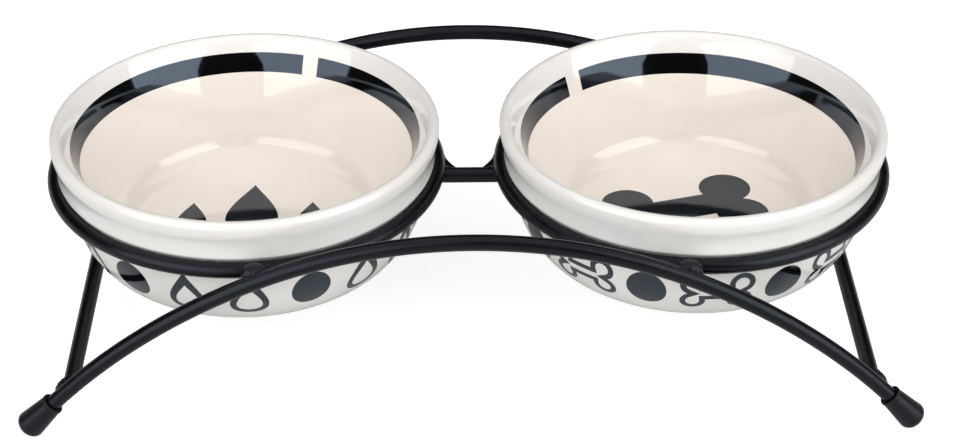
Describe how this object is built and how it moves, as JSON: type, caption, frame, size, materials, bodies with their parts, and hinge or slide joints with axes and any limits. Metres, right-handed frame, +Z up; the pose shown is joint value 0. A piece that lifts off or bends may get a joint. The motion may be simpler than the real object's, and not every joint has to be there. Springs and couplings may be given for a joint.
{
  "type": "double pet bowl",
  "caption": "Double pet bowl: white glazed bowls with a dark inner stripe, hung side by side in a low stand of black bent wire with rubber feet.",
  "frame": {"origin": "on the floor below the middle of the stand, midway between the bowls", "axes": "+X along the row of bowls to the right, +Y to the rear, +Z up"},
  "size_m": [0.2928, 0.1482, 0.0753],
  "materials": {
    "glaze": "glossy",
    "wire": "satin",
    "weld": "satin",
    "foot_rubber": "matte"
  },
  "bodies": {
    "stand": {"front_arch": "wire", "rear_arch": "wire", "centre_link": "wire", "left_ring": "wire", "left_side_bar": "wire", "left_link_weld": "weld", "right_ring": "wire", "right_side_bar": "wire", "right_link_weld": "weld", "front_left_ring_weld": "weld", "front_left_bar_weld": "weld", "front_left_foot": "foot_rubber", "front_right_ring_weld": "weld", "front_right_bar_weld": "weld", "front_right_foot": "foot_rubber", "rear_left_ring_weld": "weld", "rear_left_bar_weld": "weld", "rear_left_foot": "foot_rubber", "rear_right_ring_weld": "weld", "rear_right_bar_weld": "weld", "rear_right_foot": "foot_rubber"},
    "left_bowl": {"left_bowl": "glaze"},
    "right_bowl": {"right_bowl": "glaze"}
  },
  "joints": [
    {"name": "left_bowl_lift", "type": "slide", "parent": "stand", "child": "left_bowl", "axis": [0, 0, 1], "range_m": [0, 0.07]},
    {"name": "right_bowl_lift", "type": "slide", "parent": "stand", "child": "right_bowl", "axis": [0, 0, 1], "range_m": [0, 0.07]}
  ]
}
